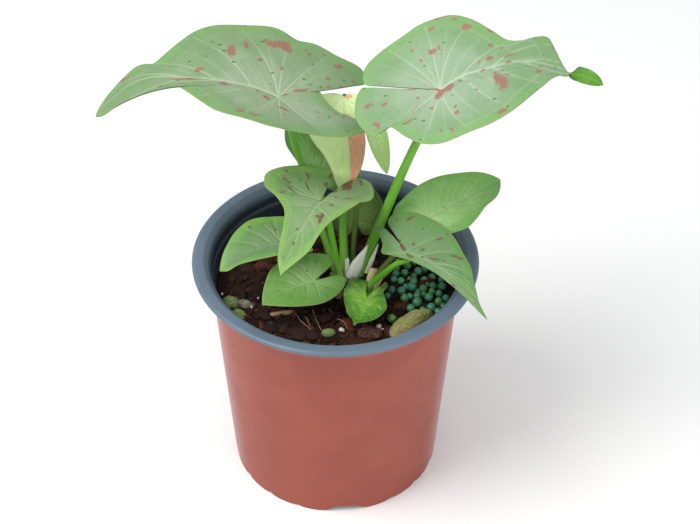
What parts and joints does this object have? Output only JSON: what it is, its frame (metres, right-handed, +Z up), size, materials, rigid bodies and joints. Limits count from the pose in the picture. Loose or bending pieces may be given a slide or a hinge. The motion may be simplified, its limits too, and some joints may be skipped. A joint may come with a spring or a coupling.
{
  "type": "potted syngonium plant",
  "caption": "Young arrowhead vine with broad lobed leaves on upright stalks, growing in soil in a round plastic nursery pot.",
  "frame": {"origin": "centre of the pot's underside, level with its feet", "axes": "+Z up along the pot's axis, -Y towards the front of the plant as pictured, +X to its right"},
  "size_m": [0.2067, 0.12, 0.2003],
  "materials": {
    "pot": "satin moulded polypropylene",
    "soil": "damp peat and bark",
    "leaf_upper_left": "satin leaf",
    "leaf_upper_right": "satin leaf",
    "leaf_centre": "satin leaf",
    "leaf_hanging_bud": "satin leaf",
    "leaf_middle": "satin leaf",
    "leaf_left": "satin leaf",
    "leaf_low_left": "satin leaf",
    "leaf_low_front": "glossy young leaf",
    "leaf_right": "satin leaf",
    "leaf_front_right": "satin leaf",
    "leaf_shaded": "satin leaf",
    "leaf_back_left": "satin leaf",
    "shoot_main": "smooth fleshy stalk",
    "shoot_left": "smooth fleshy stalk",
    "shoot_right": "smooth fleshy stalk",
    "fertiliser_beads": "resin coated grains",
    "mossy_stone_right": "rough, mossy",
    "mossy_pebble_left": "rough, mossy",
    "mossy_pebble_front_left": "rough, mossy",
    "green_pebble_front": "rough, mossy",
    "brown_stone_front": "rough",
    "grey_bark_chip": "weathered bark",
    "bark_splinter": "weathered bark"
  },
  "bodies": {
    "root": {"pot": "pot", "soil": "soil", "leaf_upper_left": "leaf_upper_left", "leaf_upper_right": "leaf_upper_right", "leaf_centre": "leaf_centre", "leaf_hanging_bud": "leaf_hanging_bud", "leaf_middle": "leaf_middle", "leaf_left": "leaf_left", "leaf_low_left": "leaf_low_left", "leaf_low_front": "leaf_low_front", "leaf_right": "leaf_right", "leaf_front_right": "leaf_front_right", "leaf_shaded": "leaf_shaded", "leaf_back_left": "leaf_back_left", "shoot_main": "shoot_main", "shoot_left": "shoot_left", "shoot_right": "shoot_right", "fertiliser_beads": "fertiliser_beads", "mossy_stone_right": "mossy_stone_right", "mossy_pebble_left": "mossy_pebble_left", "mossy_pebble_front_left": "mossy_pebble_front_left", "green_pebble_front": "green_pebble_front", "brown_stone_front": "brown_stone_front", "grey_bark_chip": "grey_bark_chip", "bark_splinter": "bark_splinter"}
  },
  "joints": []
}
